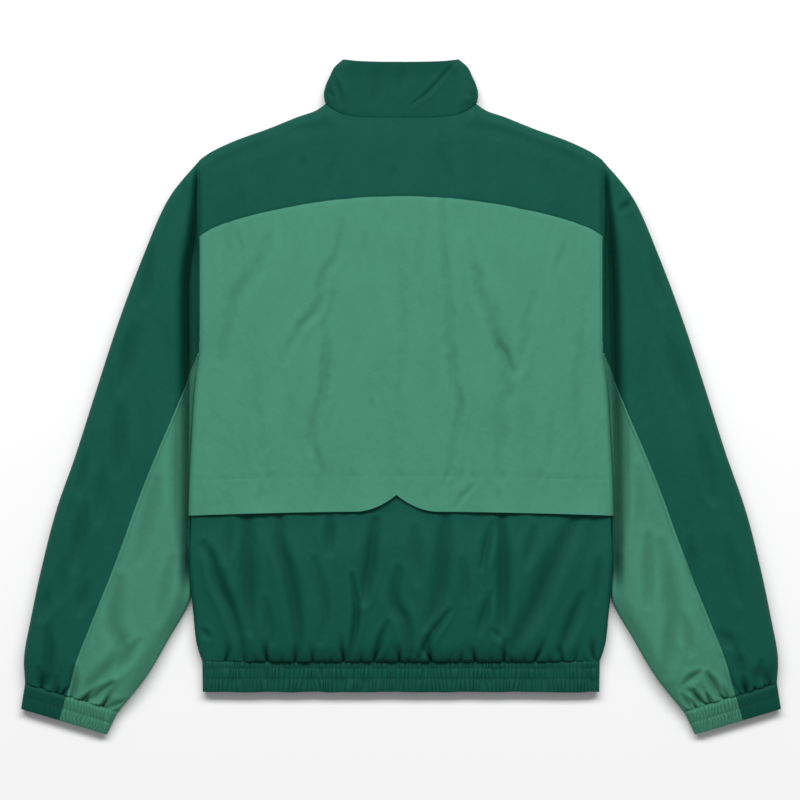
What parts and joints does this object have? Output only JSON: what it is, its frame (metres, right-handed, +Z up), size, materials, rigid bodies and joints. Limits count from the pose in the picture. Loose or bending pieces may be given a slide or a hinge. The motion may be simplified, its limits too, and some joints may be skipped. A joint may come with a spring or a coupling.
{
  "type": "track jacket",
  "caption": "Two-green woven track jacket with stand collar, back cape flap, elastic hem and cuffs, laid flat on its front, zip closed",
  "frame": {"origin": "centre of the bounding box, on the surface the jacket lies on", "axes": "+X across the jacket, +Y towards the collar, +Z up from the surface, towards the back of the jacket"},
  "size_m": [0.8732, 0.7752, 0.0268],
  "materials": {
    "dark_green_nylon": "plain woven nylon, slight sheen",
    "light_green_nylon": "plain woven nylon, slight sheen",
    "zip_tape": "woven zip tape with a moulded chain",
    "zip_metal": "painted die-cast metal"
  },
  "bodies": {
    "jacket": {"collar": "dark_green_nylon", "back_yoke": "dark_green_nylon", "lower_back": "dark_green_nylon", "front_left": "dark_green_nylon", "front_right": "dark_green_nylon", "hem_band": "dark_green_nylon", "sleeve_left_dark": "dark_green_nylon", "sleeve_right_dark": "dark_green_nylon", "cuff_left_dark": "dark_green_nylon", "cuff_right_dark": "dark_green_nylon", "back_cape": "light_green_nylon", "sleeve_left_light": "light_green_nylon", "sleeve_right_light": "light_green_nylon", "cuff_left_light": "light_green_nylon", "cuff_right_light": "light_green_nylon", "zip": "zip_tape", "zip_slider": "zip_metal"},
    "pull_tab": {"zip_pull": "zip_metal"}
  },
  "joints": [
    {"name": "pull_tab_hinge", "type": "hinge", "parent": "jacket", "child": "pull_tab", "pos_m": [0, 0.32215, 0.00177], "axis": [1, 0, 0], "range_deg": [0, 170]}
  ]
}
